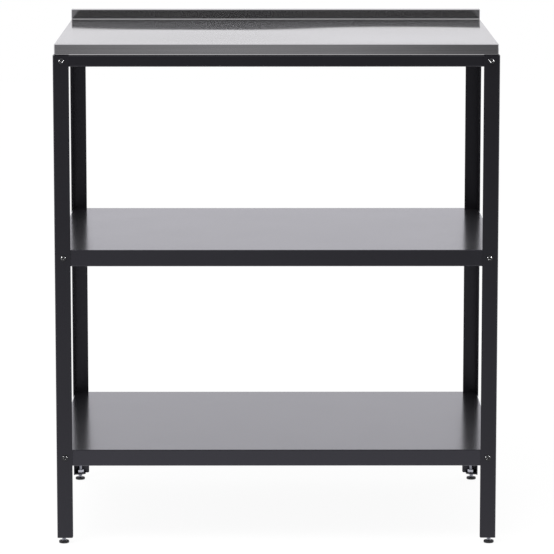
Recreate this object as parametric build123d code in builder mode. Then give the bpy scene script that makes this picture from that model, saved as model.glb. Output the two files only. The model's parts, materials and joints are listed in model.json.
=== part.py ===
"""Free-standing outdoor kitchen bench: a folded stainless worktop on a bolted frame of folded angles.

Millimetres. The origin lies on the floor under the middle of the bench, +X to the right,
+Y to the rear, +Z up. The front of the bench faces -Y.
"""
import os

from build123d import *

os.makedirs("parts", exist_ok=True)

# Overall sizes
frame_width = 860.0  # over the outside of the legs
frame_depth = 610.0
worktop_height = 983.0  # floor to the working surface
middle_shelf_height = 583.0  # floor to the shelf's upper face
bottom_shelf_height = 188.0
leg_clearance = 12.0  # floor to the lower end of the legs

# Legs, folded angles
leg_flange = 31.0
leg_wall = 2.0
leg_inside_bend = 1.0
leg_corner_radius = 3.0  # on the free corners of the flanges

# Top rails, folded channels with a wide upper flange
rail_height = 22.0
rail_wall = 1.5
rail_flange = 25.0
rail_lip = 10.0
rail_inside_bend = 1.0
cope_gap = 1.0  # between a side rail's notched flange and the rail that it meets

# Worktop, folded from one sheet
worktop_inset = 2.5  # worktop edge inside the legs' outer faces
worktop_apron = 22.0
worktop_sheet = 1.0
worktop_inside_bend = 1.2
worktop_lip = 20.0  # inward return along the apron's lower edge
upstand_height = 21.0
upstand_thickness = 12.0

# Shelves, folded pans
shelf_apron = 32.0
shelf_sheet = 1.0
shelf_inside_bend = 1.0
shelf_lip = 12.0

mitre_gap = 1.0  # between two lips where they meet in a corner

# Stiffeners, hat sections under the worktop and the shelves
stiffener_width = 50.0
stiffener_flange = 15.0
stiffener_slope = 8.0  # how far each web leans out
stiffener_sheet = 1.0
stiffener_end_gap = 3.0
shelf_stiffener_depth = 18.0
worktop_stiffener_depth = 14.0
worktop_stiffener_spread = 290.0  # between the two stiffeners of the worktop

# Frame screws through the legs, and their welded nuts
screw_diameter = 6.0
screw_length = 12.0
screw_head_diameter = 12.0
screw_head_height = 3.6
screw_head_rim = 1.4  # straight side of the head, under its crown
screw_nut_across_flats = 10.0
screw_nut_height = 5.0

# Screws that hold the worktop down on the rails, and their welded nuts
worktop_screw_diameter = 5.0
worktop_screw_length = 10.0
worktop_screw_head_diameter = 9.5
worktop_screw_head_height = 3.0
worktop_screw_head_rim = 1.0
worktop_nut_across_flats = 8.0
worktop_nut_height = 4.0
worktop_screw_spacing = 520.0
worktop_screws_per_rail = 2

screw_head_sides = 12
screw_sides = 8  # of the shanks, their holes and the nuts' bores
thread_clearance = 0.1  # radial, between a fixed screw and its nut
hole_clearance = 0.3  # radial, between a screw and the sheet that it passes

# Levelling feet
foot_inset = 12.5  # stud axis inside the legs' outer faces
foot_plate_thickness = 3.0
foot_plate_reach = 22.0  # along each leg flange, from its inner face
foot_plate_corner = 8.0
foot_hole_clearance = 0.5  # radial, round the stud in its plate
foot_nut_across_flats = 13.0
foot_nut_height = 6.5
stud_diameter = 8.0
stud_length = 35.0  # above the pad
running_clearance = 0.05  # radial, of the stud in its nut and in its pad
socket_depth = 3.0  # of the stud's end in the pad
socket_end_gap = 0.3
pad_diameter = 20.0
pad_height = 5.0
pad_edge_chamfer = 1.2

# Faces and levels that the pieces share
leg_top = worktop_height - worktop_apron
half_width = frame_width / 2
half_depth = frame_depth / 2
inner_half_width = half_width - leg_wall
inner_half_depth = half_depth - leg_wall
worktop_bend = worktop_inside_bend + worktop_sheet
shelf_bend = shelf_inside_bend + shelf_sheet
screw_inset = (leg_flange + leg_wall) / 2
rail_level = leg_top - rail_height / 2
middle_level = middle_shelf_height - shelf_apron / 2
bottom_level = bottom_shelf_height - shelf_apron / 2

corners = {
    "front_left": (-1, -1),
    "front_right": (1, -1),
    "rear_left": (-1, 1),
    "rear_right": (1, 1),
}


def save(builder, name):
    """Label a finished piece and write it as one STEP file."""
    builder.part.label = name
    export_step(builder.part, f"parts/{name}.step")


def screw_seat(corner, level):
    """Screw seat on the front or rear flange of a leg, with Z pointing outward."""
    side, end = corner
    return Plane(
        origin=(side * (half_width - screw_inset), end * half_depth, level),
        x_dir=(1, 0, 0),
        z_dir=(0, end, 0),
    )


def level_seats(level):
    """Every screw seat of the bench at one level."""
    return [screw_seat(corner, level) for corner in corners.values()]


def worktop_seats(height):
    """Seats of the worktop's screws at a given height, with Z pointing down."""
    spots = GridLocations(
        worktop_screw_spacing,
        frame_depth - 2 * worktop_inset - worktop_lip - worktop_bend,
        worktop_screws_per_rail,
        2,
    )
    return [
        Plane(origin=(spot.position.X, spot.position.Y, height), x_dir=(1, 0, 0), z_dir=(0, 0, -1))
        for spot in spots
    ]


def foot_plane(corner, height):
    """Level plane on the axis of one levelling foot."""
    side, end = corner
    return Plane(origin=(side * (half_width - foot_inset), end * (half_depth - foot_inset), height))


def folded_section(points, wall, inside_bend):
    """Section of a folded sheet round the corners of its middle line, in the current sketch."""
    with BuildLine() as middle_line:
        FilletPolyline(*points, radius=inside_bend + wall / 2)
    trace(middle_line.line, line_width=wall)


def cut_mitres(width, depth, floor, lip, bend):
    """Slit the corners where four inward lips meet, in the current part."""
    with BuildSketch(Plane.XY.offset(floor)) as slits:
        for side, end in corners.values():
            with Locations((side * (width - lip) / 2, end * (depth - lip) / 2)):
                Rectangle(lip * 2**0.5 + mitre_gap, mitre_gap, rotation=45 * side * end)
    extrude(slits.sketch, amount=bend, mode=Mode.SUBTRACT)


def cut_screw_holes(seats, diameter, depth):
    """Clearance holes for small fixed screws, sunk from their seats into the current part."""
    for seat in seats:
        with BuildSketch(seat) as hole:
            RegularPolygon(radius=diameter / 2 + hole_clearance, side_count=screw_sides)
        extrude(hole.sketch, amount=-depth, mode=Mode.SUBTRACT)


def pan_screw(diameter, length, head_diameter, head_height, head_rim):
    """Pan-head screw on the Z axis, with the seat of its head at Z = 0."""
    crown = head_height - head_rim
    with BuildPart() as screw:
        with BuildSketch():
            RegularPolygon(radius=head_diameter / 2, side_count=screw_head_sides)
        extrude(amount=head_height)
        chamfer(screw.faces().sort_by(Axis.Z)[-1].edges(), length=crown)
        with BuildSketch():
            RegularPolygon(radius=diameter / 2, side_count=screw_sides)
        extrude(amount=-length)
    return screw.part


def hex_nut(across_flats, height, bore_radius):
    """Hexagon nut that stands on Z = 0."""
    with BuildPart() as nut:
        with BuildSketch():
            RegularPolygon(across_flats / 2, side_count=6, major_radius=False)
            RegularPolygon(bore_radius, screw_sides, major_radius=False, mode=Mode.SUBTRACT)
        extrude(amount=height)
    return nut.part


def save_copies(piece, seats, name):
    """Write a group of equal pieces, one on each seat, as one node."""
    with BuildPart() as group:
        with Locations(*seats):
            add(piece)
    save(group, name)


def make_leg(corner):
    side, end = corner
    web_x = side * (half_width - leg_wall / 2)
    web_y = end * (half_depth - leg_wall / 2)
    with BuildPart() as leg:
        with BuildSketch(Plane.XY.offset(leg_clearance)):
            folded_section(
                [
                    (side * (half_width - leg_flange), web_y),
                    (web_x, web_y),
                    (web_x, end * (half_depth - leg_flange)),
                ],
                leg_wall,
                leg_inside_bend,
            )
        extrude(amount=leg_top - leg_clearance)
        free_corners = leg.edges().filter_by(GeomType.LINE).group_by(SortBy.LENGTH)[0]
        fillet(free_corners, radius=leg_corner_radius)
        leg_seats = [screw_seat(corner, level) for level in (rail_level, middle_level, bottom_level)]
        cut_screw_holes(leg_seats, screw_diameter, leg_wall)
    return leg


def make_foot_plate(corner):
    side, end = corner
    middle = (
        side * (inner_half_width - foot_plate_reach / 2),
        end * (inner_half_depth - foot_plate_reach / 2),
    )
    with BuildPart() as plate:
        with BuildSketch(Plane.XY.offset(leg_clearance)) as outline:
            with Locations(middle):
                Rectangle(foot_plate_reach, foot_plate_reach)
            chamfer(outline.vertices().sort_by_distance((0, 0))[0], length=foot_plate_corner)
            chamfer(outline.vertices().sort_by_distance((0, 0))[-1], length=leg_inside_bend)
        extrude(amount=foot_plate_thickness)
        with BuildSketch(foot_plane(corner, leg_clearance)):
            RegularPolygon(stud_diameter / 2 + foot_hole_clearance, screw_sides, major_radius=False)
        extrude(amount=foot_plate_thickness, mode=Mode.SUBTRACT)
    return plate


def make_cross_rail(end):
    """Front or rear rail, the full width between the side rails' webs."""
    length = 2 * (inner_half_width - rail_wall)
    web_y = end * (inner_half_depth - rail_wall / 2)
    upper = leg_top - rail_wall / 2
    lower = leg_top - rail_height + rail_wall / 2
    with BuildPart() as rail:
        with BuildSketch(Plane.YZ.offset(-length / 2)):
            folded_section(
                [
                    (end * (inner_half_depth - rail_flange), upper),
                    (web_y, upper),
                    (web_y, lower),
                    (end * (inner_half_depth - rail_lip), lower),
                ],
                rail_wall,
                rail_inside_bend,
            )
        extrude(amount=length)
        cut_screw_holes(level_seats(rail_level), screw_diameter, leg_wall + rail_wall)
        cut_screw_holes(worktop_seats(leg_top - rail_wall), worktop_screw_diameter, rail_wall)
    return rail


def make_side_rail(side):
    """Left or right rail, with its flanges notched to clear the cross rails."""
    web_x = side * (inner_half_width - rail_wall / 2)
    upper = leg_top - rail_wall / 2
    lower = leg_top - rail_height + rail_wall / 2
    fold = rail_inside_bend + rail_wall
    with BuildPart() as rail:
        with BuildSketch(Plane.XZ):
            folded_section(
                [
                    (side * (inner_half_width - rail_flange), upper),
                    (web_x, upper),
                    (web_x, lower),
                    (side * (inner_half_width - rail_lip), lower),
                ],
                rail_wall,
                rail_inside_bend,
            )
        extrude(amount=inner_half_depth - rail_flange - cope_gap, both=True)
        with BuildSketch(Plane.XZ):
            with Locations((web_x, rail_level)):
                Rectangle(rail_wall, rail_height - 2 * fold)
        extrude(amount=inner_half_depth - rail_wall, both=True)
    return rail


def make_worktop():
    """One folded sheet: working surface, hollow rear upstand, aprons and inward lips."""
    far_x = half_width - worktop_inset
    far_y = half_depth - worktop_inset
    upstand_y = far_y - upstand_thickness
    upstand_top = worktop_height + upstand_height
    skin = worktop_sheet / 2
    with BuildPart() as worktop:
        with BuildSketch(Plane.YZ):
            folded_section(
                [
                    (worktop_lip - far_y, leg_top + skin),
                    (skin - far_y, leg_top + skin),
                    (skin - far_y, worktop_height - skin),
                    (upstand_y + skin, worktop_height - skin),
                    (upstand_y + skin, upstand_top - skin),
                    (far_y - skin, upstand_top - skin),
                    (far_y - skin, leg_top + skin),
                    (far_y - worktop_lip, leg_top + skin),
                ],
                worktop_sheet,
                worktop_inside_bend,
            )
        extrude(amount=far_x - worktop_bend, both=True)
        with BuildSketch(Plane.XZ.offset(-upstand_y)):
            folded_section(
                [
                    (worktop_lip - far_x, leg_top + skin),
                    (skin - far_x, leg_top + skin),
                    (skin - far_x, worktop_height - skin),
                    (far_x - skin, worktop_height - skin),
                    (far_x - skin, leg_top + skin),
                    (far_x - worktop_lip, leg_top + skin),
                ],
                worktop_sheet,
                worktop_inside_bend,
            )
        extrude(amount=upstand_y + far_y - worktop_bend)
        cut_mitres(2 * far_x, 2 * far_y, leg_top, worktop_lip, worktop_bend)
        for side in (-1, 1):
            # Welded front corner, ground to the radius of the folds
            corner_axis = Axis((side * (far_x - worktop_bend), worktop_bend - far_y, 0), (0, 0, 1))
            with BuildSketch(Plane(corner_axis.position, x_dir=(side, 0, 0), z_dir=(0, -side, 0))):
                with Locations((worktop_bend / 2, worktop_height - worktop_apron / 2)):
                    profile = Rectangle(worktop_bend, worktop_apron)
                lower, upper = profile.vertices().group_by(Axis.X)[-1].sort_by(Axis.Z)
                chamfer(lower, worktop_bend / 2)
                fillet(upper, worktop_bend)
            revolve(axis=corner_axis, revolution_arc=-90 * side)
            # Welded cap that closes the end of the upstand
            with BuildSketch(Plane.YZ.offset(side * (far_x - worktop_bend))) as cap:
                with Locations(((upstand_y + far_y) / 2, (leg_top + upstand_top) / 2)):
                    Rectangle(upstand_thickness, upstand_top - leg_top)
                fillet(cap.vertices(), worktop_bend)
            extrude(amount=side * worktop_bend)
        cut_screw_holes(worktop_seats(leg_top), worktop_screw_diameter, worktop_sheet)
    return worktop


def make_shelf(height):
    """Folded pan that fits inside the four legs, with its upper face at the given height."""
    skin = shelf_sheet / 2
    floor = height - shelf_apron
    with BuildPart() as shelf:
        for plane, far, across in (
            (Plane.YZ, inner_half_depth, inner_half_width),
            (Plane.XZ, inner_half_width, inner_half_depth),
        ):
            with BuildSketch(plane):
                folded_section(
                    [
                        (shelf_lip - far, floor + skin),
                        (skin - far, floor + skin),
                        (skin - far, height - skin),
                        (far - skin, height - skin),
                        (far - skin, floor + skin),
                        (far - shelf_lip, floor + skin),
                    ],
                    shelf_sheet,
                    shelf_inside_bend,
                )
            extrude(amount=across - shelf_bend, both=True)
        cut_mitres(2 * inner_half_width, 2 * inner_half_depth, floor, shelf_lip, shelf_bend)
        cut_screw_holes(
            level_seats(height - shelf_apron / 2), screw_diameter, leg_wall + shelf_sheet
        )
    return shelf


def make_stiffener(length, middle_y, ceiling, depth):
    """Hat section across the width, hung under a sheet whose lower face is the ceiling."""
    flange_z = ceiling - stiffener_sheet / 2
    web_z = ceiling - depth + stiffener_sheet / 2
    half = stiffener_width / 2
    foot = half + stiffener_slope
    reach = foot + stiffener_flange
    with BuildPart() as stiffener:
        with BuildSketch(Plane.YZ.offset(-length / 2)):
            with BuildLine():
                Polyline(
                    (middle_y - reach, flange_z),
                    (middle_y - foot, flange_z),
                    (middle_y - half, web_z),
                    (middle_y + half, web_z),
                    (middle_y + foot, flange_z),
                    (middle_y + reach, flange_z),
                )
            trace(line_width=stiffener_sheet)
        extrude(amount=length)
    return stiffener


def make_stud(corner):
    """Threaded foot stud, whose lower end turns in the pad."""
    with BuildPart() as stud:
        with BuildSketch(foot_plane(corner, pad_height - socket_depth)):
            Circle(stud_diameter / 2)
        extrude(amount=socket_depth + stud_length)
    return stud


def make_pad(corner):
    """Moulded foot pad with a blind socket for the stud."""
    with BuildPart() as pad:
        with BuildSketch(foot_plane(corner, 0)):
            Circle(pad_diameter / 2)
        extrude(amount=pad_height)
        chamfer(pad.edges().group_by(Axis.Z)[0], length=pad_edge_chamfer)
        with Locations(foot_plane(corner, pad_height)):
            Hole(stud_diameter / 2 + running_clearance, depth=socket_depth + socket_end_gap)
    return pad


for corner_name, corner in corners.items():
    save(make_leg(corner), f"{corner_name}_leg")
    save(make_foot_plate(corner), f"{corner_name}_foot_plate")
    save(make_stud(corner), f"{corner_name}_foot_stud")
    save(make_pad(corner), f"{corner_name}_foot_pad")

save(make_cross_rail(-1), "front_top_rail")
save(make_cross_rail(1), "rear_top_rail")
save(make_side_rail(-1), "left_top_rail")
save(make_side_rail(1), "right_top_rail")

save(make_worktop(), "worktop")
save(make_shelf(middle_shelf_height), "middle_shelf")
save(make_shelf(bottom_shelf_height), "bottom_shelf")

shelf_stiffener_length = 2 * (inner_half_width - shelf_sheet - stiffener_end_gap)
worktop_stiffener_length = 2 * (half_width - worktop_inset - worktop_sheet - stiffener_end_gap)
worktop_ceiling = worktop_height - worktop_sheet
for name, height in (("middle", middle_shelf_height), ("bottom", bottom_shelf_height)):
    stiffener = make_stiffener(shelf_stiffener_length, 0, height - shelf_sheet, shelf_stiffener_depth)
    save(stiffener, f"{name}_shelf_stiffener")
for name, end in (("front", -1), ("rear", 1)):
    stiffener = make_stiffener(
        worktop_stiffener_length,
        end * worktop_stiffener_spread / 2,
        worktop_ceiling,
        worktop_stiffener_depth,
    )
    save(stiffener, f"worktop_{name}_stiffener")

frame_screw = pan_screw(
    screw_diameter, screw_length, screw_head_diameter, screw_head_height, screw_head_rim
)
frame_nut = hex_nut(
    screw_nut_across_flats, screw_nut_height, screw_diameter / 2 + thread_clearance
)
for name, level, sheet in (
    ("top_rail", rail_level, rail_wall),
    ("middle_shelf", middle_level, shelf_sheet),
    ("bottom_shelf", bottom_level, shelf_sheet),
):
    seats = level_seats(level)
    nut_seats = [seat.offset(-leg_wall - sheet - screw_nut_height) for seat in seats]
    save_copies(frame_screw, seats, f"{name}_screws")
    save_copies(frame_nut, nut_seats, f"{name}_weld_nuts")

worktop_screw = pan_screw(
    worktop_screw_diameter,
    worktop_screw_length,
    worktop_screw_head_diameter,
    worktop_screw_head_height,
    worktop_screw_head_rim,
)
worktop_nut = hex_nut(
    worktop_nut_across_flats, worktop_nut_height, worktop_screw_diameter / 2 + thread_clearance
)
save_copies(worktop_screw, worktop_seats(leg_top - rail_wall), "worktop_screws")
nut_seats = worktop_seats(leg_top + worktop_sheet + worktop_nut_height)
save_copies(worktop_nut, nut_seats, "worktop_weld_nuts")

foot_nut = hex_nut(
    foot_nut_across_flats, foot_nut_height, stud_diameter / 2 + running_clearance
)
foot_nut_seats = [
    foot_plane(corner, leg_clearance + foot_plate_thickness) for corner in corners.values()
]
save_copies(foot_nut, foot_nut_seats, "foot_nuts")
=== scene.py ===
"""Outdoor kitchen bench: finished sheet metal, fasteners and feet built round the packed frame.

Lengths are metres in the frame's own axes: +X right, +Y to the rear, +Z up. The front faces -Y.
"""
import json
import math

import bmesh
import bpy
from bpy.props import FloatProperty, FloatVectorProperty, PointerProperty
from mathutils import Matrix, Vector


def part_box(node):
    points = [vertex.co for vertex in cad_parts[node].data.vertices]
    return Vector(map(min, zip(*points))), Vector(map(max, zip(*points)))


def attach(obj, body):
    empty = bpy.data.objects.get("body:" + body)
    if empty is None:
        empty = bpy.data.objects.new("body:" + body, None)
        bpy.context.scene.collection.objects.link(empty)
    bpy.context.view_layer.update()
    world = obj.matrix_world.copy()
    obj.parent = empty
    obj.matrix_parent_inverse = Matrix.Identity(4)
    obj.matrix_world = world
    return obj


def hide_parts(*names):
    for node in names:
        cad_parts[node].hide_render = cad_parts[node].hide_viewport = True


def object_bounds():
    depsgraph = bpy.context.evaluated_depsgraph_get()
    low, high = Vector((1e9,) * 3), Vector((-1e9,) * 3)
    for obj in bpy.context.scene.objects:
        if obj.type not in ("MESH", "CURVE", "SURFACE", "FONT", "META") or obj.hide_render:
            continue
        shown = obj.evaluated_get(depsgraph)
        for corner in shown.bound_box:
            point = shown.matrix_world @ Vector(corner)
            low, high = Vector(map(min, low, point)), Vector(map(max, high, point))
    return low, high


bl_info = {
    "name": "Outdoor Kitchen Bench",
    "version": (1, 0, 0),
    "blender": (4, 5, 0),
    "location": "3D View > Sidebar > Bench",
    "description": "Dresses a stainless-topped outdoor kitchen bench round its packed frame",
    "category": "Object",
}

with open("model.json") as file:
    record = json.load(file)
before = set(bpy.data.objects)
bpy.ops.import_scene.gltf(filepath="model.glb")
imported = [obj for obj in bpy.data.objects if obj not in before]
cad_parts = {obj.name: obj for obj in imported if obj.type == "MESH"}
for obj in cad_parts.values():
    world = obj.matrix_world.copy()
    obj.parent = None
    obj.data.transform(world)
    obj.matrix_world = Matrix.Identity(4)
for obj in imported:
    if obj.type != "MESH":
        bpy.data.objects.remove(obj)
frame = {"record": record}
CAD_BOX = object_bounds()
RECORD = frame["record"]
BODY_OF = {node: body for body, nodes in RECORD["behaviour"]["bodies"].items() for node in nodes}
SLOT_OF = {row["node"]: row["material_slot"] for row in RECORD["subparts"]}
SURFACE_HEIGHT = {mount["name"]: mount["pos_m"][2] for mount in RECORD["mounts"]}

MM = 0.001
CORNERS = {
    "front_left": (-1, -1),
    "front_right": (1, -1),
    "rear_left": (-1, 1),
    "rear_right": (1, 1),
}
SCREW_ROWS = ("top_rail", "middle_shelf", "bottom_shelf")
FOLD_STEPS = 8
SHARP_ANGLE = math.radians(38)
WHITE = (1.0, 1.0, 1.0)
BLACK = (0.0, 0.0, 0.0)


def length(name, millimetres, description):
    """A length property, written in millimetres and kept in metres."""
    return FloatProperty(name=name, description=description, default=millimetres * MM,
                         min=0.0, precision=5, unit="LENGTH")


def share(name, value, description):
    """A property between 0 and 1."""
    return FloatProperty(name=name, description=description, default=value,
                         min=0.0, max=1.0, subtype="FACTOR")


def colour(name, value, description):
    """A linear colour property."""
    return FloatVectorProperty(name=name, description=description, default=value,
                               size=3, min=0.0, soft_max=1.0, subtype="COLOR")


def power(name, watts, description):
    """A lamp's power."""
    return FloatProperty(name=name, description=description, default=watts, unit="POWER")


class BenchSheetSizes(bpy.types.PropertyGroup):
    """Folded sheet metal: legs, rails, worktop, shelves and stiffeners."""

    leg_wall: length("Leg wall", 2.0, "Sheet thickness of the angle legs")
    leg_bend: length("Leg bend", 1.0, "Inside bend radius of the legs")
    leg_corner: length("Leg corner", 3.0, "Radius of the legs' free corners")
    rail_wall: length("Rail wall", 1.5, "Sheet thickness of the top rails")
    rail_bend: length("Rail bend", 1.0, "Inside bend radius of the top rails")
    rail_lip: length("Rail lip", 10.0, "Width of the rails' lower lip")
    side_rail_cope: length("Side rail cope", 24.5, "How far the side rails' flanges stop short of the web")
    worktop_sheet: length("Worktop sheet", 1.0, "Sheet thickness of the worktop")
    worktop_bend: length("Worktop bend", 1.2, "Inside bend radius of the worktop")
    worktop_lip: length("Worktop lip", 20.0, "Width of the lip under the worktop")
    upstand_thickness: length("Upstand thickness", 12.0, "Thickness of the folded rear upstand")
    shelf_sheet: length("Shelf sheet", 1.0, "Sheet thickness of the shelves")
    shelf_bend: length("Shelf bend", 1.0, "Inside bend radius of the shelves")
    shelf_lip: length("Shelf lip", 12.0, "Width of the lip under a shelf")
    mitre_gap: length("Mitre gap", 1.0, "Gap between neighbouring lips at a corner")
    stiffener_flange: length("Stiffener flange", 15.0, "Width of the stiffeners' spot-welded flanges")
    stiffener_slope: length("Stiffener slope", 8.0, "Sideways run of the stiffeners' sloping sides")
    edge: length("Broken edge", 0.25, "Rounding of cut and coated edges")


class BenchFastenerSizes(bpy.types.PropertyGroup):
    """Screws, nuts and screw feet."""

    frame_screw_length: length("Frame screw length", 12.0, "Shank length of the frame screws")
    frame_screw_shank: length("Frame screw shank", 6.0, "Thread diameter of the frame screws")
    frame_screw_pitch: length("Frame screw pitch", 1.0, "Thread pitch of the frame screws")
    frame_screw_rim: length("Frame screw rim", 1.4, "Height of the straight rim of the frame screws' heads")
    frame_screw_key: length("Frame screw key", 4.0, "Width across flats of the frame screws' sockets")
    frame_nut_height: length("Frame nut height", 5.0, "Height of the frame's weld nuts")
    top_screw_length: length("Worktop screw length", 10.0, "Shank length of the worktop screws")
    top_screw_shank: length("Worktop screw shank", 5.0, "Thread diameter of the worktop screws")
    top_screw_pitch: length("Worktop screw pitch", 0.8, "Thread pitch of the worktop screws")
    top_screw_rim: length("Worktop screw rim", 1.0, "Height of the straight rim of the worktop screws")
    top_screw_key: length("Worktop screw key", 3.0, "Width across flats of the worktop screws' sockets")
    top_screw_head: length("Worktop screw head", 9.5, "Head diameter of the worktop screws")
    top_nut_flats: length("Worktop nut size", 8.0, "Width across flats of the worktop's weld nuts")
    foot_nut_flats: length("Foot nut size", 13.0, "Width across flats of the foot nuts")
    stud_pitch: length("Stud pitch", 1.25, "Thread pitch of the foot studs")
    plate_hole: length("Foot plate hole", 8.6, "Hole in a foot plate for its stud")
    plate_inner_cut: length("Foot plate cut", 8.0, "Chamfer at a foot plate's inner corner")
    plate_outer_cut: length("Foot plate relief", 1.0, "Chamfer at a foot plate's corner in the leg's bend")
    pad_edge: length("Pad edge", 1.5, "Rounding of the foot pads' edges")


class BenchFinishes(bpy.types.PropertyGroup):
    """Colours and gloss of the finishes."""

    frame_colour: colour("Frame coat", (0.0070, 0.0068, 0.0085), "Powder coat of the legs and rails")
    frame_roughness: share("Frame roughness", 0.34, "Roughness of the frame's powder coat")
    shelf_colour: colour("Shelf coat", (0.0086, 0.0084, 0.0104), "Powder coat of the shelves")
    shelf_roughness: share("Shelf roughness", 0.185, "Roughness of the shelves' powder coat")
    steel_colour: colour("Stainless", (0.612, 0.608, 0.598), "Cold-rolled stainless sheet")
    steel_roughness: share("Stainless roughness", 0.055, "Roughness of the stainless sheet")
    zinc_colour: colour("Zinc plate", (0.50, 0.51, 0.54), "Bright zinc plate of studs and nuts")
    zinc_roughness: share("Zinc roughness", 0.24, "Roughness of the zinc plate")
    screw_colour: colour("Black plate", (0.011, 0.011, 0.013), "Black plate of the frame screws")
    screw_roughness: share("Black plate roughness", 0.22, "Roughness of the frame screws")
    pad_colour: colour("Pad plastic", (0.016, 0.016, 0.017), "Moulded plastic of the foot pads")
    pad_roughness: share("Pad roughness", 0.46, "Roughness of the foot pads")


class BenchStage(bpy.types.PropertyGroup):
    """Camera, lamps and floor."""

    camera_place: FloatVectorProperty(
        name="Camera place", description="Where the camera stands", size=3,
        default=(-0.0159, -6.8497, 1.5564), unit="LENGTH", subtype="TRANSLATION")
    camera_turn: FloatVectorProperty(
        name="Camera turn", description="Which way the camera looks", size=3,
        default=(math.pi / 2 - 0.1555, 0.0, -0.0026), subtype="EULER")
    camera_lens: FloatProperty(
        name="Lens", description="Focal length on a 36 mm sensor", default=221.92, unit="CAMERA")
    key_power: power("Key power", 46.0, "Power of the overhead softbox")
    fill_power: power("Fill power", 4.6, "Power of the side softbox")
    catchlight_power: power("Catchlight power", 450.0, "Power of each lamp that only glints on the screws")
    room_light: share("Room light", 0.5, "Even light from all round")
    reflected_tint: colour("Reflected tint", (1.0, 0.99, 1.055), "Surroundings' colour in glossy faces")
    floor_glow: share("Floor glow", 0.93, "Share of the floor's white that no shadow darkens")


class Value:
    """A number from a node; arithmetic on it adds Math nodes."""

    def __init__(self, graph, socket):
        self.graph = graph
        self.socket = socket

    def _math(self, operation, first, second):
        return self.graph.value("ShaderNodeMath", {"operation": operation}, {0: first, 1: second})

    def __add__(self, other):
        return self._math("ADD", self, other)

    def __sub__(self, other):
        return self._math("SUBTRACT", self, other)

    def __rsub__(self, other):
        return self._math("SUBTRACT", other, self)

    def __mul__(self, other):
        return self._math("MULTIPLY", self, other)

    __radd__ = __add__
    __rmul__ = __mul__

    def sine(self):
        """The sine of a number in radians."""
        return self._math("SINE", self, 0.0)

    def larger(self, other):
        """The larger of two numbers."""
        return self._math("MAXIMUM", self, other)


class Graph:
    """A node tree that is written as calls and expressions."""

    def __init__(self, tree):
        self.tree = tree
        tree.nodes.clear()

    def node(self, kind, settings=None, sockets=None):
        """Any node: its settings first, then a value or a link for each socket named."""
        node = self.tree.nodes.new(kind)
        for name, setting in (settings or {}).items():
            setattr(node, name, setting)
        for key, value in (sockets or {}).items():
            source = value.socket if isinstance(value, Value) else value
            if isinstance(source, bpy.types.NodeSocket):
                self.tree.links.new(source, node.inputs[key])
            else:
                node.inputs[key].default_value = source
        return node

    def value(self, kind, settings=None, sockets=None, output=0):
        """A node's output as a Value."""
        return Value(self, self.node(kind, settings, sockets).outputs[output])

    def axes(self, coordinates, names):
        """The named axes of a texture coordinate."""
        place = self.node("ShaderNodeTexCoord").outputs[coordinates]
        parts = self.node("ShaderNodeSeparateXYZ", {}, {0: place}).outputs
        return [Value(self, parts[name]) for name in names]

    def noise(self, scale, detail, stretch=(1.0, 1.0, 1.0)):
        """Noise over the piece's own coordinates, with features 1 / scale metres across."""
        place = self.node("ShaderNodeTexCoord").outputs["Object"]
        stretched = self.node("ShaderNodeMapping", {}, {"Vector": place, "Scale": stretch}).outputs[0]
        sockets = {"Vector": stretched, "Scale": scale, "Detail": detail}
        return self.value("ShaderNodeTexNoise", {}, sockets, "Fac")

    def ramp(self, value, reach, levels):
        """A value carried smoothly from the ends of its reach to two levels."""
        sockets = {"Value": value, "From Min": reach[0], "From Max": reach[1],
                   "To Min": levels[0], "To Max": levels[1]}
        return self.value("ShaderNodeMapRange", {"interpolation_type": "SMOOTHSTEP"}, sockets)

    def blend(self, factor, first, second):
        """A colour between two colours, each a triple or another node's colour."""
        ends = [end if isinstance(end, bpy.types.NodeSocket) else (*end, 1.0) for end in (first, second)]
        sockets = {0: factor, 6: ends[0], 7: ends[1]}
        return self.node("ShaderNodeMix", {"data_type": "RGBA"}, sockets).outputs[2]

    def shades(self, factor, shade, dark, light):
        """A colour between a darker and a lighter shade of itself."""
        return self.blend(factor, [part * dark for part in shade], [part * light for part in shade])

    def bump(self, height, distance, under=None):
        """A normal tilted by a height field, over another bump where one is given."""
        sockets = {"Height": height, "Distance": distance, "Strength": 1.0}
        if under is not None:
            sockets["Normal"] = under
        return self.node("ShaderNodeBump", {}, sockets).outputs["Normal"]

    def surface(self, sockets):
        """A Principled surface on the material's output."""
        shader = self.node("ShaderNodeBsdfPrincipled", {}, sockets)
        self.node("ShaderNodeOutputMaterial", {}, {"Surface": shader.outputs[0]})

    def sight(self):
        """Two switches: on for rays that show the surroundings, and for the mirrored ones among them."""
        rays = self.node("ShaderNodeLightPath").outputs
        names = ("Is Camera Ray", "Is Glossy Ray", "Is Transmission Ray")
        direct, glossy, through = (Value(self, rays[name]) for name in names)
        return direct.larger(glossy).larger(through), glossy


def powder_coat(graph, shade, roughness, peel, gloss):
    """Powder coat: fine orange peel, a faint cloudiness of tone and gloss."""
    cloud = graph.noise(scale=9.0, detail=3.0)
    grain = graph.noise(scale=620.0, detail=1.0)
    dust = graph.noise(scale=160.0, detail=4.0)
    graph.surface({
        "Base Color": graph.shades(cloud, shade, dark=0.82, light=1.18),
        "Roughness": roughness - 0.05 + dust * 0.06 + cloud * 0.04,
        "Normal": graph.bump(grain, peel),
        **gloss,
    })


def frame_coat(graph, finishes):
    """Satin black coat of the legs and rails."""
    powder_coat(graph, finishes.frame_colour, finishes.frame_roughness, peel=1.6e-5, gloss={
        "IOR": 1.53,
        "Specular Tint": (0.92, 0.91, 1.0, 1.0),
    })


def shelf_coat(graph, finishes):
    """Glossier black coat of the flat shelves, with a thin haze."""
    powder_coat(graph, finishes.shelf_colour, finishes.shelf_roughness, peel=0.5e-5, gloss={
        "IOR": 1.7,
        "Specular Tint": (0.64, 0.63, 0.71, 1.0),
        "Coat Weight": 0.14,
        "Coat Roughness": 0.45,
    })


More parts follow.
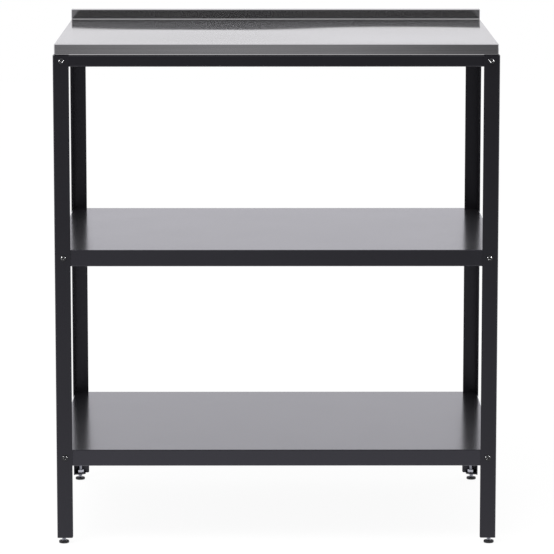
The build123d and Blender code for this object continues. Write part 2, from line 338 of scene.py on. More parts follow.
BUCKLE_WAVE = 8.05  # radians to a metre across the panel
BUCKLE_START = 0.40  # radians
BUCKLE_REAR = 0.29  # where the upstand holds the panel flat
BUCKLE_FULL = 0.05  # depth from which the panel's front edge no longer holds it
BUCKLE_RELIEF = 8.0e-3
DENT_SHARE = 0.05
GRAIN_RELIEF = 0.5e-6
HAZE_FACING = (0.3, 0.9)
HAZE_WEIGHT = (0.26, 0.62)


def stainless(graph, finishes):
    """Cold-rolled sheet: rolling grain and streaks, a thin panel's buckle, wiping marks, haze on top."""
    grain = graph.noise(scale=1.0, detail=3.0, stretch=(18.0, 1500.0, 1500.0))
    streaks = graph.noise(scale=1.0, detail=2.0, stretch=(2.5, 330.0, 330.0))
    wipes = graph.noise(scale=7.0, detail=4.0, stretch=(1.0, 2.2, 1.0))
    dents = graph.noise(scale=5.0, detail=0.0)
    across, depth = graph.axes("Object", "XY")
    (upward,) = graph.axes("Normal", "Z")
    swing = (across * BUCKLE_WAVE - BUCKLE_START).sine()
    free = graph.ramp(depth, (-BUCKLE_REAR, BUCKLE_FULL), (0.0, 1.0))
    buckle = swing * (depth - BUCKLE_REAR) * free
    waves = graph.bump(buckle + dents * DENT_SHARE, BUCKLE_RELIEF)
    tone = streaks * 0.6 + grain * 0.2 + wipes * 0.2
    graph.surface({
        "Base Color": graph.shades(tone, finishes.steel_colour, dark=0.75, light=1.25),
        "Metallic": 1.0,
        "Roughness": finishes.steel_roughness - 0.03 + grain * 0.03 + wipes * 0.03,
        "Specular Tint": (0.69, 0.69, 0.66, 1.0),
        "Coat Weight": graph.ramp(upward, HAZE_FACING, HAZE_WEIGHT),
        "Coat Roughness": 0.5,
        "Normal": graph.bump(grain, GRAIN_RELIEF, waves),
    })


def zinc_plate(graph, finishes):
    """Bright zinc with a faint mottle."""
    mottle = graph.noise(scale=260.0, detail=4.0)
    crystals = graph.noise(scale=1400.0, detail=2.0)
    graph.surface({
        "Base Color": graph.shades(mottle, finishes.zinc_colour, dark=0.86, light=1.08),
        "Metallic": 1.0,
        "Roughness": finishes.zinc_roughness - 0.05 + mottle * 0.12,
        "Normal": graph.bump(crystals, distance=3.0e-6),
    })


def black_screw(graph, finishes):
    """Glossy black plate, a little uneven."""
    mottle = graph.noise(scale=420.0, detail=3.0)
    crystals = graph.noise(scale=1800.0, detail=2.0)
    graph.surface({
        "Base Color": graph.shades(mottle, finishes.screw_colour, dark=0.75, light=1.3),
        "Roughness": finishes.screw_roughness - 0.04 + mottle * 0.1,
        "IOR": 1.45,
        "Normal": graph.bump(crystals, distance=3.0e-6),
    })


def pad_plastic(graph, finishes):
    """Moulded plastic with a fine spark-eroded texture."""
    cloud = graph.noise(scale=90.0, detail=2.0)
    texture = graph.noise(scale=2200.0, detail=2.0)
    graph.surface({
        "Base Color": graph.shades(cloud, finishes.pad_colour, dark=0.85, light=1.2),
        "Roughness": finishes.pad_roughness - 0.04 + texture * 0.08,
        "IOR": 1.46,
        "Normal": graph.bump(texture, distance=1.2e-5),
    })


FINISHES = {
    "frame_coat": frame_coat,
    "shelf_coat": shelf_coat,
    "stainless": stainless,
    "zinc_plate": zinc_plate,
    "black_screw": black_screw,
    "pad_plastic": pad_plastic,
}


def finish_of(slot):
    """The slot's material, made on first use."""
    name = f"{slot}_finish"
    if name not in bpy.data.materials:
        material = bpy.data.materials.new(name)
        material.use_nodes = True
        FINISHES[slot](Graph(material.node_tree), bpy.context.scene.bench_finishes)
    return bpy.data.materials[name]


def publish(bm, nodes, edge=0.0, wall=0.0):
    """Turns a mesh into the finished piece for CAD nodes; a wall gives a skin its thickness inwards."""
    mesh = bpy.data.meshes.new(f"{nodes[0]}_finished")
    bm.to_mesh(mesh)
    bm.free()
    mesh.polygons.foreach_set("use_smooth", [True] * len(mesh.polygons))
    mesh.set_sharp_from_angle(angle=SHARP_ANGLE)
    piece = bpy.data.objects.new(mesh.name, mesh)
    bpy.context.scene.collection.objects.link(piece)
    if wall:
        thickness = piece.modifiers.new("sheet", "SOLIDIFY")
        thickness.thickness = wall
        thickness.offset = -1.0
        thickness.use_even_offset = True
        thickness.use_quality_normals = True
    if edge:
        rounding = piece.modifiers.new("broken_edges", "BEVEL")
        rounding.width = edge
        rounding.segments = 2
        rounding.limit_method = "ANGLE"
        rounding.angle_limit = SHARP_ANGLE
    shading = piece.modifiers.new("shading", "WEIGHTED_NORMAL")
    shading.keep_sharp = True
    slot = SLOT_OF[nodes[0]]
    mesh.materials.append(finish_of(slot))
    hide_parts(*nodes)
    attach(piece, BODY_OF[nodes[0]])
    return piece


def catchlight_pieces():
    """The collection of pieces that the catchlights reach, made on first use."""
    name = "catchlights"
    if name not in bpy.data.collections:
        bpy.data.collections.new(name)
    return bpy.data.collections[name]


def middle(node):
    """The middle of a node's box."""
    low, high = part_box(node)
    return (low + high) / 2


def box_corner(box, side_x, side_y):
    """The corner of a box, seen from above, that lies towards the given sides."""
    low, high = box
    return Vector((high.x if side_x > 0 else low.x, high.y if side_y > 0 else low.y))


def quarter_turn(steps=FOLD_STEPS):
    """Angles from 0 to a right angle."""
    return [math.pi / 2 * step / steps for step in range(steps + 1)]


def fold_points(before, corner, after, radius):
    """Points on the arc that rounds one corner of a section line."""
    into = (corner - before).normalized()
    out = (after - corner).normalized()
    turn = math.atan2(into.x * out.y - into.y * out.x, into.dot(out))
    start = corner - into * (radius * math.tan(abs(turn) / 2))
    centre = start + Vector((-into.y, into.x)) * math.copysign(radius, turn)
    for step in range(FOLD_STEPS + 1):
        yield centre + Matrix.Rotation(turn * step / FOLD_STEPS, 2) @ (start - centre)


def folded_line(corners, radii):
    """A section line with its inner corners rounded."""
    points = [corners[0]]
    for index, radius in enumerate(radii, start=1):
        points.extend(fold_points(corners[index - 1], corners[index], corners[index + 1], radius))
    points.append(corners[-1])
    return points


def along_x(point, run):
    """A section point (Y, Z) placed at X = run."""
    return Vector((run, point.x, point.y))


def along_y(point, run):
    """A section point (X, Z) placed at Y = run."""
    return Vector((point.x, run, point.y))


def along_z(point, run):
    """A section point (X, Y) placed at Z = run."""
    return Vector((point.x, point.y, run))


def folded_skin(corners, radii, ends, place):
    """The outer skin of a folded strip, with its two rows of end vertices."""
    bm = bmesh.new()
    line = folded_line([Vector(corner) for corner in corners], radii)
    near, far = ([bm.verts.new(place(point, end)) for point in line] for end in ends)
    for i in range(len(line) - 1):
        bm.faces.new((near[i], near[i + 1], far[i + 1], far[i]))
    return bm, near, far


def face_away(bm, inside):
    """Turns a skin's faces so that they look away from a point on its inner side."""
    bm.normal_update()
    outward = 0.0
    for face in bm.faces:
        outward += (face.calc_center_median() - inside).dot(face.normal) * face.calc_area()
    if outward < 0.0:
        bmesh.ops.reverse_faces(bm, faces=bm.faces)


def ring_stack(loops, closed=False):
    """A solid joined from rings of points: capped at both ends, or closed on itself."""
    bm = bmesh.new()
    rings = [[bm.verts.new(point) for point in loop] for loop in loops]
    nexts = rings[1:] + rings[:1] if closed else rings[1:]
    for lower, upper in zip(rings, nexts):
        for i in range(len(lower)):
            bm.faces.new((lower[i - 1], lower[i], upper[i], upper[i - 1]))
    if not closed:
        bm.faces.new(rings[0])
        bm.faces.new(rings[-1])
    bmesh.ops.recalc_face_normals(bm, faces=bm.faces)
    return bm


def ring(radius, height, sides):
    """A ring of points round Z; radius and height are numbers or functions of the angle."""
    points = []
    for i in range(sides):
        angle = math.tau * i / sides
        reach = radius(angle) if callable(radius) else radius
        level = height(angle) if callable(height) else height
        points.append(Vector((reach * math.cos(angle), reach * math.sin(angle), level)))
    return points


def as_mesh(bm, name):
    """A bmesh written out as a mesh."""
    mesh = bpy.data.meshes.new(name)
    bm.to_mesh(mesh)
    bm.free()
    return mesh


def mesh_copies(mesh, places):
    """One mesh repeated at several places."""
    bm = bmesh.new()
    for place in places:
        copy = mesh.copy()
        copy.transform(place)
        bm.from_mesh(copy)
        bpy.data.meshes.remove(copy)
    bpy.data.meshes.remove(mesh)
    return bm


def cut_recess(mesh, cutter):
    """A mesh with a recess cut into it."""
    blank = bpy.data.objects.new("blank", mesh)
    tool = bpy.data.objects.new("recess_tool", cutter)
    for part in (blank, tool):
        bpy.context.scene.collection.objects.link(part)
    cut = blank.modifiers.new("recess", "BOOLEAN")
    cut.operation = "DIFFERENCE"
    cut.solver = "EXACT"
    cut.object = tool
    graph = bpy.context.evaluated_depsgraph_get()
    result = bpy.data.meshes.new_from_object(blank.evaluated_get(graph))
    for part in (blank, tool):
        used = part.data
        bpy.data.objects.remove(part)
        bpy.data.meshes.remove(used)
    return result


THREAD_DEPTH = 0.54  # of the pitch
THREAD_ROWS = 8  # to a turn
THREAD_RUNOUT = 1.15  # of the depth
CREST_WIDTH = 1.7
FLANK_SLOPE = 4.0


def thread_rings(radius, pitch, start, end, sides):
    """Rings of a right-hand thread that runs out in a chamfer at both ends."""
    depth = THREAD_DEPTH * pitch
    rows = max(THREAD_ROWS, round((end - start) / pitch * THREAD_ROWS))
    rings = []
    for row in range(rows + 1):
        level = start + (end - start) * row / rows
        runout = min(level - start, end - level) + radius - depth * THREAD_RUNOUT

        def reach(angle, level=level, runout=runout):
            phase = (level / pitch - angle / math.tau) % 1.0
            crest = min(1.0, max(0.0, CREST_WIDTH - abs(phase - 0.5) * FLANK_SLOPE))
            return min(radius - depth * (1.0 - crest), runout)

        rings.append(ring(reach, level, sides))
    return rings


SCREW_SIDES = 40
CROWN_STEPS = 7
CROWN_FLAT = 0.42  # of the head's radius
CROWN_ROUND = 0.58  # the rest of it
HEAD_EDGE = 0.25 * MM
NECK_LENGTH = 0.15 * MM
NECK_FLARE = 0.2 * MM
SOCKET_DEPTH = 0.6  # of the key's width
SOCKET_LEAD = 0.12  # of the key's width
LEAD_SLOPE = 2.0
CUT_MARGIN = 0.1 * MM


def pan_head_screw(head_radius, head_height, rim, shank, pitch, reach, key):
    """A pan-head screw with a hexagon socket: its seat at Z = 0, its head upwards."""
    loops = thread_rings(shank / 2, pitch, -reach, -NECK_LENGTH, SCREW_SIDES)
    loops.append(ring(shank / 2 + NECK_FLARE, 0.0, SCREW_SIDES))
    loops.append(ring(head_radius - HEAD_EDGE, 0.0, SCREW_SIDES))
    loops.append(ring(head_radius, HEAD_EDGE, SCREW_SIDES))
    for angle in quarter_turn(CROWN_STEPS):
        radius = CROWN_FLAT * head_radius + CROWN_ROUND * head_radius * math.cos(angle)
        loops.append(ring(radius, rim + (head_height - rim) * math.sin(angle), SCREW_SIDES))
    screw = as_mesh(ring_stack(loops), "screw_blank")
    top = head_height + CUT_MARGIN
    lead = SOCKET_LEAD * key
    mouth = key / 2 + LEAD_SLOPE * (lead + CUT_MARGIN)
    corner = key / math.sqrt(3)
    cuts = (
        [ring(corner, head_height - SOCKET_DEPTH * key, 6), ring(corner, top, 6)],
        [ring(key / 2, head_height - lead, SCREW_SIDES), ring(mouth, top, SCREW_SIDES)],
    )
    for cut in cuts:
        screw = cut_recess(screw, as_mesh(ring_stack(cut), "screw_socket"))
    return screw


NUT_SIDES = 48
NUT_FACE = 0.94  # of the width across flats
NUT_LEAD = 0.4 * MM
NUT_CHAMFER = math.pi / 6


def hex_nut(across_flats, height, bore):
    """A hexagon nut with chamfered corners on both faces: its lower face at Z = 0, corners along X."""
    flat = across_flats / 2
    face = NUT_FACE * flat
    mouth = bore + NUT_LEAD

    def corner(angle):
        return flat / math.cos(angle % (math.pi / 3) - math.pi / 6)

    def drop(angle):
        return (corner(angle) - face) * math.tan(NUT_CHAMFER)

    def rise(angle):
        return height - drop(angle)

    profile = (
        (bore, NUT_LEAD), (mouth, 0.0), (face, 0.0), (corner, drop),
        (corner, rise), (face, height), (mouth, height), (bore, height - NUT_LEAD),
    )
    loops = [ring(reach, level, NUT_SIDES) for reach, level in profile]
    return as_mesh(ring_stack(loops, closed=True), "nut_blank")


def folded_pan(node, surface, sheet, inside_bend, lip, gap, upstand):
    """Skin of a tray turned upside down: flat top, rounded folds, aprons all round and mitred lips.

    With an upstand the rear of the top rises in a square fold before it turns down.
    """
    low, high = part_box(node)
    bend = inside_bend + sheet
    reach_x, reach_y = high.x, high.y
    floor = low.z + bend
    section = [Vector((-reach_y, floor)), Vector((-reach_y, surface))]
    if upstand:
        root = reach_y - upstand
        section += [Vector((root, surface)), Vector((root, high.z))]
    section += [Vector((reach_y, high.z)), Vector((reach_y, floor))]

    def profile(inset):
        moved, radii = [], []
        last = len(section) - 1
        for i, corner in enumerate(section):
            into = (corner - section[i - 1]).normalized() if i else None
            out = (section[i + 1] - corner).normalized() if i < last else None
            shift = Vector((0.0, 0.0))
            for way in (into, out):
                if way is not None:
                    shift += Vector((way.y, -way.x)) * inset
            moved.append(corner + shift)
            if into is not None and out is not None:
                convex = into.x * out.y - into.y * out.x < 0.0
                radii.append(bend - inset if convex else inside_bend + inset)
        return folded_line(moved, radii)

    bm = bmesh.new()
    rows = []
    for side in (-1, 1):
        row = []
        for angle in quarter_turn():
            run = side * (reach_x - bend + bend * math.sin(angle))
            points = profile(bend * (1 - math.cos(angle)))
            row.append([bm.verts.new(along_x(point, run)) for point in points])
        rows.append(row)
    stations = rows[0][::-1] + rows[1]
    for first, second in zip(stations, stations[1:]):
        for i in range(len(first) - 1):
            bm.faces.new((first[i], first[i + 1], second[i + 1], second[i]))
    bm.faces.new(stations[0])
    bm.faces.new(stations[-1])

    fold = [(0.0, floor)]
    for angle in quarter_turn()[1:]:
        fold.append((bend * (1 - math.cos(angle)), floor - bend * math.sin(angle)))
    fold.append((lip, low.z))
    for way, across, along in (("x", reach_y, reach_x), ("y", reach_x, reach_y)):
        for side in (-1, 1):
            pairs = []
            for inward, level in fold:
                half = along - max(bend, inward + gap / math.sqrt(2))
                near = side * (across - inward)
                ends = ((-half, near), (half, near)) if way == "x" else ((near, -half), (near, half))
                pairs.append([bm.verts.new((x, y, level)) for x, y in ends])
            for first, second in zip(pairs, pairs[1:]):
                bm.faces.new((first[0], first[1], second[1], second[0]))
    bmesh.ops.remove_doubles(bm, verts=bm.verts, dist=1e-6)
    bmesh.ops.recalc_face_normals(bm, faces=bm.faces)
    face_away(bm, Vector((0.0, 0.0, low.z)))
    return bm


class BENCH_OT_legs(bpy.types.Operator):
    """Builds the four folded angle legs"""

    bl_idname = "bench.legs"
    bl_label = "Legs"

    def execute(self, context):
        sizes = context.scene.bench_sheets
        bend = sizes.leg_bend + sizes.leg_wall
        for corner, (side_x, side_y) in CORNERS.items():
            node = f"{corner}_leg"
            low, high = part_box(node)
            outer = box_corner((low, high), side_x, side_y)
            inner = box_corner((low, high), -side_x, -side_y)
            section = ((inner.x, outer.y), outer, (outer.x, inner.y))
            bm, near, far = folded_skin(section, (bend,), (low.z, high.z), along_z)
            free = [near[0], near[-1], far[0], far[-1]]
            bmesh.ops.bevel(bm, geom=free, offset=sizes.leg_corner, segments=6,
                            profile=0.5, affect="VERTICES")
            face_away(bm, Vector((inner.x, inner.y, (low.z + high.z) / 2)))
            publish(bm, [node], sizes.edge, sizes.leg_wall)
        return {"FINISHED"}


class BENCH_OT_top_rails(bpy.types.Operator):
    """Builds the four channel rails under the worktop"""

    bl_idname = "bench.top_rails"
    bl_label = "Top rails"

    def execute(self, context):
        sizes = context.scene.bench_sheets
        bend = sizes.rail_bend + sizes.rail_wall
        for name, side in (("front", -1), ("rear", 1), ("left", -1), ("right", 1)):
            node = f"{name}_top_rail"
            low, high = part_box(node)
            crossing = name in ("front", "rear")
            across = (low.y, high.y) if crossing else (low.x, high.x)
            along = (low.x, high.x) if crossing else (low.y, high.y)
            web, flange = across if side < 0 else across[::-1]
            cope = 0.0 if crossing else sizes.side_rail_cope
            section = ((flange, high.z), (web, high.z), (web, low.z), (web - side * sizes.rail_lip, low.z))
            ends = (along[0] + cope, along[1] - cope)
            place = along_x if crossing else along_y
            bm, near, far = folded_skin(section, (bend, bend), ends, place)
            if cope:
                upper = 1 + FOLD_STEPS
                for row, shift in ((near, -cope), (far, cope)):
                    root = (row[upper], row[upper + 1])
                    tip = [bm.verts.new(vert.co + Vector((0.0, shift, 0.0))) for vert in root]
                    bm.faces.new((root[0], root[1], tip[1], tip[0]))
                bmesh.ops.recalc_face_normals(bm, faces=bm.faces)
            face_away(bm, place(Vector((flange, (low.z + high.z) / 2)), sum(along) / 2))
            publish(bm, [node], sizes.edge, sizes.rail_wall)
        return {"FINISHED"}


class BENCH_OT_worktop(bpy.types.Operator):
    """Builds the folded worktop with its rear upstand"""

    bl_idname = "bench.worktop"
    bl_label = "Worktop"

    def execute(self, context):
        sizes = context.scene.bench_sheets
        bm = folded_pan("worktop", SURFACE_HEIGHT["worktop_surface"],
                        sizes.worktop_sheet, sizes.worktop_bend, sizes.worktop_lip,
                        sizes.mitre_gap, sizes.upstand_thickness)
        publish(bm, ["worktop"], 0.0, sizes.worktop_sheet)
        return {"FINISHED"}


class BENCH_OT_shelves(bpy.types.Operator):
    """Builds the two folded shelves"""

    bl_idname = "bench.shelves"
    bl_label = "Shelves"

    def execute(self, context):
        sizes = context.scene.bench_sheets
        for node in ("middle_shelf", "bottom_shelf"):
            bm = folded_pan(node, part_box(node)[1].z,
                            sizes.shelf_sheet, sizes.shelf_bend, sizes.shelf_lip,
                            sizes.mitre_gap, upstand=0.0)
            publish(bm, [node], 0.0, sizes.shelf_sheet)
        return {"FINISHED"}


STIFFENER_ROOT = 1.6 * MM
STIFFENER_BASE = 0.8 * MM


class BENCH_OT_stiffeners(bpy.types.Operator):
    """Builds the hat-section stiffeners under the worktop and the shelves"""

    bl_idname = "bench.stiffeners"
    bl_label = "Stiffeners"

    def execute(self, context):
        sizes = context.scene.bench_sheets
        names = ("worktop_front", "worktop_rear", "middle_shelf", "bottom_shelf")
        for node in (f"{name}_stiffener" for name in names):
            low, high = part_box(node)
            sheet = sizes.worktop_sheet if node.startswith("worktop") else sizes.shelf_sheet
            floor = low.z + sheet
            foot = sizes.stiffener_flange
            bottom = foot + sizes.stiffener_slope
            section = (
                (low.y, high.z), (low.y + foot, high.z), (low.y + bottom, floor),
                (high.y - bottom, floor), (high.y - foot, high.z), (high.y, high.z),
            )
            bends = (STIFFENER_ROOT, STIFFENER_BASE, STIFFENER_BASE, STIFFENER_ROOT)
            bm, _, _ = folded_skin(section, bends, (low.x, high.x), along_x)
            face_away(bm, Vector((0.0, middle(node).y, -1.0)))
            publish(bm, [node], sizes.edge / 2, sheet)
        return {"FINISHED"}


def spin(degrees):
    """A turn of a screw on its own axis."""
    return Matrix.Rotation(math.radians(degrees), 4, "Z")


class BENCH_OT_frame_screws(bpy.types.Operator):
    """Builds the pan-head screws that hold rails and shelves to the legs"""

    bl_idname = "bench.frame_screws"
    bl_label = "Frame screws"
    first_turn = 23
    turn_by_corner = 37
    turn_by_row = 61

    def execute(self, context):
        sizes = context.scene.bench_fasteners
        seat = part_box("rear_left_leg")[1].y
        for index, row in enumerate(SCREW_ROWS):
            node = f"{row}_screws"
            low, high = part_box(node)
            radius = (high.z - low.z) / 2
            across = high.x - radius
            screw = pan_head_screw(radius, high.y - seat, sizes.frame_screw_rim, sizes.frame_screw_shank,
                                   sizes.frame_screw_pitch, sizes.frame_screw_length, sizes.frame_screw_key)
            places = []
            for count, (side_x, side_y) in enumerate(CORNERS.values()):
                spot = Matrix.Translation((side_x * across, side_y * seat, middle(node).z))
                tilt = Matrix.Rotation(-side_y * math.pi / 2, 4, "X")
                turn = self.first_turn + self.turn_by_corner * count + self.turn_by_row * index
                places.append(spot @ tilt @ spin(turn))
            piece = publish(mesh_copies(screw, places), [node])
            catchlight_pieces().objects.link(piece)
        return {"FINISHED"}


class BENCH_OT_worktop_screws(bpy.types.Operator):
    """Builds the screws that hold the worktop from below"""

    bl_idname = "bench.worktop_screws"
    bl_label = "Worktop screws"
    first_turn = 11
    turn_by_corner = 29

    def execute(self, context):
        sizes = context.scene.bench_fasteners
        node = "worktop_screws"
        low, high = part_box(node)
        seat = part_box("front_top_rail")[1].z - context.scene.bench_sheets.rail_wall
        radius = sizes.top_screw_head / 2
        screw = pan_head_screw(radius, seat - low.z, sizes.top_screw_rim, sizes.top_screw_shank,
                               sizes.top_screw_pitch, sizes.top_screw_length, sizes.top_screw_key)
        places = []
        for count, (side_x, side_y) in enumerate(CORNERS.values()):
            spot = Matrix.Translation((side_x * (high.x - radius), side_y * (high.y - radius), seat))
            turn = spin(self.first_turn + self.turn_by_corner * count)
            places.append(spot @ Matrix.Rotation(math.pi, 4, "X") @ turn)
        publish(mesh_copies(screw, places), [node])
        return {"FINISHED"}


class BENCH_OT_nuts(bpy.types.Operator):
    """Builds the weld nuts of the frame, the shelves and the worktop, and the foot nuts"""

    bl_idname = "bench.nuts"
    bl_label = "Nuts"

    def execute(self, context):
        sizes = context.scene.bench_fasteners
        for row in SCREW_ROWS:
            node = f"{row}_weld_nuts"
            low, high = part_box(node)
            flats = high.z - low.z
            across = high.x - flats / math.sqrt(3)
            nut = hex_nut(flats, sizes.frame_nut_height, sizes.frame_screw_shank / 2)
            places = []
            for side_x, side_y in CORNERS.values():
                spot = Matrix.Translation((side_x * across, side_y * high.y, middle(node).z))
                places.append(spot @ Matrix.Rotation(side_y * math.pi / 2, 4, "X"))
            publish(mesh_copies(nut, places), [node])
        low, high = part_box("worktop_weld_nuts")
        nut = hex_nut(sizes.top_nut_flats, high.z - low.z, sizes.top_screw_shank / 2)
        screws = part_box("worktop_screws")[1]
        head = sizes.top_screw_head / 2
        places = [Matrix.Translation((side_x * (screws.x - head), side_y * (screws.y - head), low.z))
                  for side_x, side_y in CORNERS.values()]
        publish(mesh_copies(nut, places), ["worktop_weld_nuts"])
        low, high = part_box("foot_nuts")
        nut = hex_nut(sizes.foot_nut_flats, high.z - low.z, sizes.plate_hole / 2)
        places = []
        for corner in CORNERS:
            axis = middle(f"{corner}_foot_stud")
            places.append(Matrix.Translation((axis.x, axis.y, low.z)))
        publish(mesh_copies(nut, places), ["foot_nuts"])
        return {"FINISHED"}


PLATE_RAYS = 48
PLATE_CORNER = 0.2 * MM


def edge_reach(outline, angle):
    """How far a convex outline lies from its origin in one direction."""
    ray = Vector((math.cos(angle), math.sin(angle)))
    reaches = []
    for first, second in zip(outline, outline[1:] + outline[:1]):
        run = second - first
        normal = Vector((run.y, -run.x))
        facing = normal.dot(ray)
        if facing > 1e-9:
            reaches.append(normal.dot(first) / facing)
    return min(reaches)


class BENCH_OT_foot_plates(bpy.types.Operator):
    """Builds the plates welded into the legs' lower ends"""

    bl_idname = "bench.foot_plates"
    bl_label = "Foot plates"

    def execute(self, context):
        sizes = context.scene.bench_fasteners
        for corner, (side_x, side_y) in CORNERS.items():
            node = f"{corner}_foot_plate"
            low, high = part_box(node)
            axis = middle(f"{corner}_foot_stud")
            cuts = {
                (side_x, side_y): sizes.plate_outer_cut,
                (-side_x, -side_y): sizes.plate_inner_cut,
            }
            outline = []
            for way in ((1, 1), (-1, 1), (-1, -1), (1, -1)):
                tip = box_corner((low, high), *way)
                cut = cuts.get(way, PLATE_CORNER)
                shifts = ((0.0, -way[1] * cut), (-way[0] * cut, 0.0))
                if way[0] * way[1] < 0:
                    shifts = shifts[::-1]
                outline += [tip + Vector(shift) - axis.xy for shift in shifts]
            angles = {math.tau * i / PLATE_RAYS - math.pi for i in range(PLATE_RAYS)}
            angles |= {math.atan2(point.y, point.x) for point in outline}
            hole = sizes.plate_hole / 2
            loops = []
            for at_edge, level in ((False, low.z), (True, low.z), (True, high.z), (False, high.z)):
                loop = []
                for angle in sorted(angles):
                    reach = edge_reach(outline, angle) if at_edge else hole
                    x = axis.x + reach * math.cos(angle)
                    y = axis.y + reach * math.sin(angle)
                    loop.append(Vector((x, y, level)))
                loops.append(loop)
            publish(ring_stack(loops, closed=True), [node], context.scene.bench_sheets.edge)
        return {"FINISHED"}


def publish_turned(loops, node):
    """Publishes a turned piece on the upright axis through the middle of its node."""
    bm = ring_stack(loops)
    axis = middle(node)
    bmesh.ops.translate(bm, verts=bm.verts, vec=(axis.x, axis.y, 0.0))
    publish(bm, [node])


STUD_SIDES = 32


class BENCH_OT_foot_studs(bpy.types.Operator):
    """Builds the threaded studs of the screw feet"""

    bl_idname = "bench.foot_studs"
    bl_label = "Foot studs"

    def execute(self, context):
        pitch = context.scene.bench_fasteners.stud_pitch
        for corner in CORNERS:
            node = f"{corner}_foot_stud"
            low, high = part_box(node)
            radius = (high.x - low.x) / 2
            publish_turned(thread_rings(radius, pitch, low.z, high.z, STUD_SIDES), node)
        return {"FINISHED"}


PAD_SIDES = 64
PAD_FOOT_CUT = 0.6 * MM
PAD_FOOT_SQUASH = 0.8
PAD_SOCKET_PLAY = 0.05 * MM
PAD_SOCKET_SPARE = 0.3 * MM
PAD_COLLAR = (  # millimetres out from the socket and down from the top: a moulded groove, the socket's lead
    (2.2, 0.0), (1.9, 0.35), (1.5, 0.35), (1.2, 0.0), (0.35, 0.0), (0.0, 0.35),
)


class BENCH_OT_foot_pads(bpy.types.Operator):
    """Builds the moulded pads of the screw feet"""

    bl_idname = "bench.foot_pads"
    bl_label = "Foot pads"

    def execute(self, context):
        rounding = context.scene.bench_fasteners.pad_edge
        for corner in CORNERS:
            node = f"{corner}_foot_pad"
            low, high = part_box(node)
            stud_low, stud_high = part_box(f"{corner}_foot_stud")
            radius = (high.x - low.x) / 2
            socket = (stud_high.x - stud_low.x) / 2 + PAD_SOCKET_PLAY
            profile = [(radius - rounding - PAD_FOOT_CUT, low.z)]
            for angle in quarter_turn():
                profile.append((radius - rounding + rounding * math.sin(angle),
                                low.z + rounding * PAD_FOOT_SQUASH * (1 - math.cos(angle))))
            for angle in quarter_turn():
                profile.append((radius - rounding + rounding * math.cos(angle),
                                high.z - rounding * (1 - math.sin(angle))))
            profile += [(socket + out * MM, high.z - down * MM) for out, down in PAD_COLLAR]
            profile.append((socket, stud_low.z - PAD_SOCKET_SPARE))
            publish_turned([ring(reach, level, PAD_SIDES) for reach, level in profile], node)
        return {"FINISHED"}


def shown_white(graph, level, glossy):
    """White of the given level, tinted where glossy faces mirror it."""
    tint = graph.blend(glossy, WHITE, bpy.context.scene.bench_stage.reflected_tint)
    return graph.blend(level, BLACK, tint)


FLOOR_RADIUS = 9.0
FLOOR_SIDES = 96
FLOOR_DROP = 0.2 * MM
FLOOR_DIM_DEPTH = (-4.5, 0.9)  # from the front, where the mirrored floor is dimmed, to the rear
FLOOR_DIM_ACROSS = (-0.7, 0.9)
FLOOR_DIM_SHARE = (0.53, 0.75)
FLOOR_SHADOW = (0.15, 0.15, 0.15, 1.0)
FLOOR_BOUNCE = (0.72, 0.72, 0.72, 1.0)


def floor_finish():
    """A pale floor: white to the eye and in reflections, still darkened by the object's shadow."""
    material = bpy.data.materials.new("studio_floor")
    material.use_nodes = True
    graph = Graph(material.node_tree)
    seen, glossy = graph.sight()
    across, depth = graph.axes("Object", "XY")
    near = graph.ramp(depth, FLOOR_DIM_DEPTH, (1.0, 0.0))
    dim = graph.ramp(across, FLOOR_DIM_ACROSS, FLOOR_DIM_SHARE)
    level = bpy.context.scene.bench_stage.floor_glow * (1.0 - glossy * near * dim)
    shown = shown_white(graph, level, glossy)
    light = graph.node("ShaderNodeEmission", {}, {"Color": shown, "Strength": 1.0}).outputs[0]
    cover = graph.node("ShaderNodeBsdfDiffuse", {}, {"Color": FLOOR_SHADOW}).outputs[0]
    lit = graph.node("ShaderNodeAddShader", {}, {0: light, 1: cover}).outputs[0]
    plain = graph.node("ShaderNodeBsdfDiffuse", {}, {"Color": FLOOR_BOUNCE}).outputs[0]
    mixed = graph.node("ShaderNodeMixShader", {}, {0: seen, 1: plain, 2: lit}).outputs[0]
    below = graph.node("ShaderNodeNewGeometry").outputs["Backfacing"]
    clear = graph.node("ShaderNodeBsdfTransparent").outputs[0]
    sided = graph.node("ShaderNodeMixShader", {}, {0: below, 1: mixed, 2: clear}).outputs[0]
    graph.node("ShaderNodeOutputMaterial", {}, {"Surface": sided})
    return material


FRONT_ZONE = (-0.92, -0.55)
GROUND_MIDDLE = 0.28
GROUND_SLANT = 0.73
GROUND_FALL = 30.0
GROUND_LEAST = 0.12
HORIZON = (-0.05, 0.05)
SKY_RISE = (0.11, 0.26)
SKY_LEVELS = (0.02, 0.48)


def light_room(world):
    """White surroundings for the eye, dimmer ones in front where glossy faces look back past the camera."""
    world.use_nodes = True
    graph = Graph(world.node_tree)
    seen, glossy = graph.sight()
    side, depth, rise = graph.axes("Generated", "XYZ")
    front = graph.ramp(depth, FRONT_ZONE, (1.0, 0.0))
    ground = (GROUND_MIDDLE - side * GROUND_SLANT - side * side * GROUND_FALL).larger(GROUND_LEAST)
    above = graph.ramp(rise, HORIZON, (0.0, 1.0))
    facing = ground + above * (graph.ramp(rise, SKY_RISE, SKY_LEVELS) - ground)
    reflected = 1.0 - front * (1.0 - facing)
    shown = 1.0 - glossy * (1.0 - reflected)
    room = bpy.context.scene.bench_stage.room_light
    level = room + seen * (shown - room)
    sockets = {"Color": shown_white(graph, level, glossy), "Strength": 1.0}
    back = graph.node("ShaderNodeBackground", {}, sockets).outputs[0]
    graph.node("ShaderNodeOutputWorld", {}, {"Surface": back})


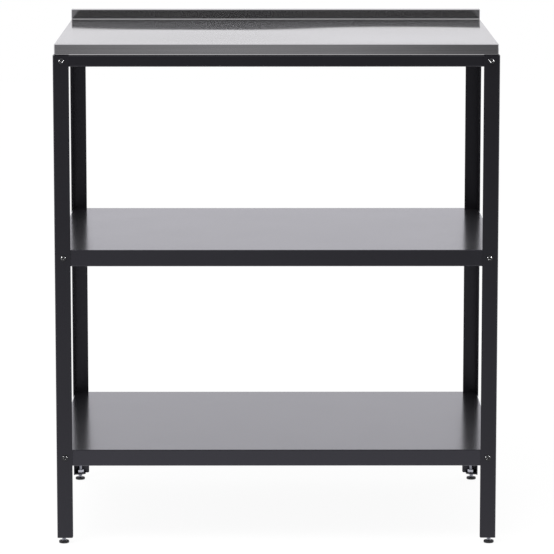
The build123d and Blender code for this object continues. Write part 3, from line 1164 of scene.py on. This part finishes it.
LAMP_AIM = (0.0, 0.0, 0.5)
LAMPS = {  # place, size and the property that holds the power
    "key_softbox": ((-0.9, -1.9, 3.3), (2.6, 1.8), "key_power"),
    "fill_softbox": ((-1.7, -1.3, 0.35), (0.9, 1.2), "fill_power"),
    "left_catchlight": ((-2.3, -2.6, 1.5), (0.7, 0.7), "catchlight_power"),
    "right_catchlight": ((2.3, -2.6, 1.5), (0.7, 0.7), "catchlight_power"),
}
SENSOR_WIDTH = 36.0  # millimetres


def area_lamp(name, place, size, watts):
    """A lamp that looks at the bench: a softbox, or a catchlight that only glints on its own pieces."""
    catchlight = name.endswith("catchlight")
    lamp = bpy.data.lights.new(name, "AREA")
    lamp.shape = "RECTANGLE"
    lamp.size, lamp.size_y = size
    lamp.energy = watts
    box = bpy.data.objects.new(name, lamp)
    box.location = place
    box.rotation_euler = (Vector(LAMP_AIM) - Vector(place)).to_track_quat("-Z", "Y").to_euler()
    box.visible_camera = False
    box.visible_glossy = catchlight
    box.visible_diffuse = not catchlight
    if catchlight:
        box.light_linking.receiver_collection = catchlight_pieces()
    bpy.context.scene.collection.objects.link(box)


class BENCH_OT_stage(bpy.types.Operator):
    """Builds the floor, the surroundings, the lamps and the camera"""

    bl_idname = "bench.stage"
    bl_label = "Stage"

    def execute(self, context):
        scene = context.scene
        stage = scene.bench_stage
        scene.view_settings.view_transform = "Standard"
        bm = bmesh.new()
        bm.faces.new([bm.verts.new(point) for point in ring(FLOOR_RADIUS, 0.0, FLOOR_SIDES)])
        mesh = as_mesh(bm, "floor")
        mesh.materials.append(floor_finish())
        floor = bpy.data.objects.new("floor", mesh)
        floor.location.z = CAD_BOX[0].z - FLOOR_DROP
        scene.collection.objects.link(floor)
        if scene.world is None:
            scene.world = bpy.data.worlds.new("studio")
        light_room(scene.world)
        for name, (place, size, setting) in LAMPS.items():
            area_lamp(name, place, size, getattr(stage, setting))
        lens = bpy.data.cameras.new("camera")
        lens.lens = stage.camera_lens
        lens.sensor_width = SENSOR_WIDTH
        camera = bpy.data.objects.new("camera", lens)
        camera.location = stage.camera_place
        camera.rotation_euler = stage.camera_turn
        scene.collection.objects.link(camera)
        scene.camera = camera
        return {"FINISHED"}


OPERATORS = (
    BENCH_OT_legs, BENCH_OT_top_rails, BENCH_OT_worktop, BENCH_OT_shelves, BENCH_OT_stiffeners,
    BENCH_OT_frame_screws, BENCH_OT_worktop_screws, BENCH_OT_nuts, BENCH_OT_foot_plates,
    BENCH_OT_foot_studs, BENCH_OT_foot_pads, BENCH_OT_stage,
)
GROUPS = {
    "bench_sheets": BenchSheetSizes,
    "bench_fasteners": BenchFastenerSizes,
    "bench_finishes": BenchFinishes,
    "bench_stage": BenchStage,
}


class BENCH_PT_sidebar(bpy.types.Panel):
    """The bench's sizes, finishes and operators"""

    bl_label = "Outdoor Kitchen Bench"
    bl_idname = "BENCH_PT_sidebar"
    bl_space_type = "VIEW_3D"
    bl_region_type = "UI"
    bl_category = "Bench"

    def draw(self, context):
        for name, group in GROUPS.items():
            box = self.layout.box()
            box.label(text=group.__doc__)
            for prop in group.__annotations__:
                box.prop(getattr(context.scene, name), prop)
        column = self.layout.column(align=True)
        for operator in OPERATORS:
            column.operator(operator.bl_idname)


def register():
    """Registers the classes and hangs the property groups on the scene."""
    for name, group in GROUPS.items():
        bpy.utils.register_class(group)
        setattr(bpy.types.Scene, name, PointerProperty(type=group))
    for cls in (*OPERATORS, BENCH_PT_sidebar):
        bpy.utils.register_class(cls)


def unregister():
    """Takes away all that register adds."""
    for cls in reversed((*OPERATORS, BENCH_PT_sidebar)):
        bpy.utils.unregister_class(cls)
    for name, group in reversed(GROUPS.items()):
        delattr(bpy.types.Scene, name)
        bpy.utils.unregister_class(group)


def main():
    register()
    for operator in OPERATORS:
        family, action = operator.bl_idname.split(".")
        getattr(getattr(bpy.ops, family), action)()


if __name__ == "__main__":
    main()
